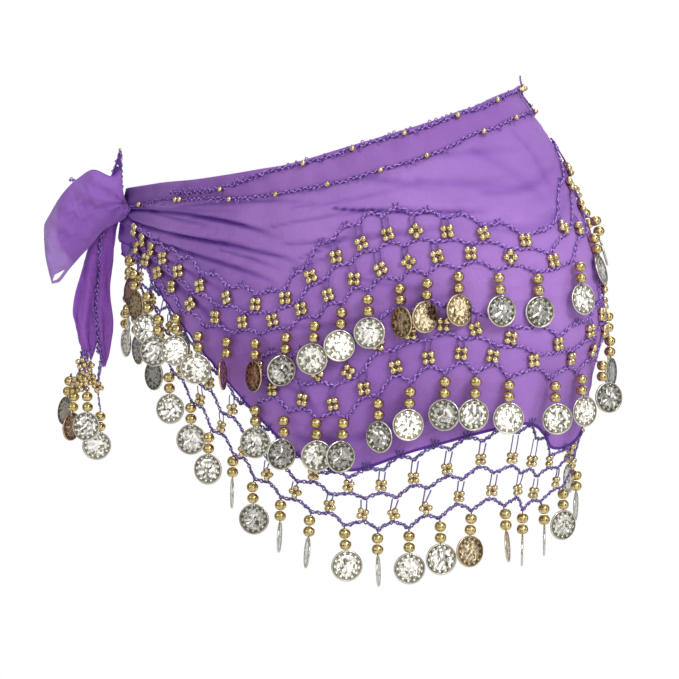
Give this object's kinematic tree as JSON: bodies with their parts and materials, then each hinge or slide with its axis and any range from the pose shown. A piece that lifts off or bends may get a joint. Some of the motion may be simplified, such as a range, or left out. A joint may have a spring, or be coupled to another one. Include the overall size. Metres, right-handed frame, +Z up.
{
  "type": "belly dance hip scarf",
  "caption": "Chiffon hip scarf wound round the hips and knotted at the side, with crocheted net tiers, gold bead flowers and coin drops.",
  "frame": {"origin": "middle of the hips that wear it, about level with their widest place", "axes": "+Z up, the wearer faces -Y, +X is the wearer's left; the knot is at the wearer's right"},
  "size_m": [0.3787, 0.2594, 0.3208],
  "materials": {
    "chiffon": "sheer matt purple chiffon",
    "chiffon_double": "doubled matt purple chiffon, darker",
    "crochet_yarn": "twisted violet crochet yarn",
    "gilt_metal": "pale gold plating, polished beads and stamped coins"
  },
  "bodies": {
    "root": {"wrap_front": "chiffon", "wrap_back": "chiffon", "knot": "chiffon", "bow_loop": "chiffon", "tail_wide": "chiffon", "tail_narrow": "chiffon", "corner_tip": "chiffon", "turnover_front": "chiffon_double", "turnover_back": "chiffon_double", "edging_waist": "crochet_yarn", "edging_turnover": "crochet_yarn", "upper_net_front": "crochet_yarn", "upper_net_back": "crochet_yarn", "middle_net_front": "crochet_yarn", "middle_net_back": "crochet_yarn", "hem_net_front": "crochet_yarn", "hem_net_back": "crochet_yarn", "coins_upper_net_front": "gilt_metal", "coins_upper_net_back": "gilt_metal", "coins_middle_net_front": "gilt_metal", "coins_middle_net_back": "gilt_metal", "coins_hem_net_front": "gilt_metal", "coins_hem_net_back": "gilt_metal", "coins_tail": "gilt_metal"}
  },
  "joints": []
}
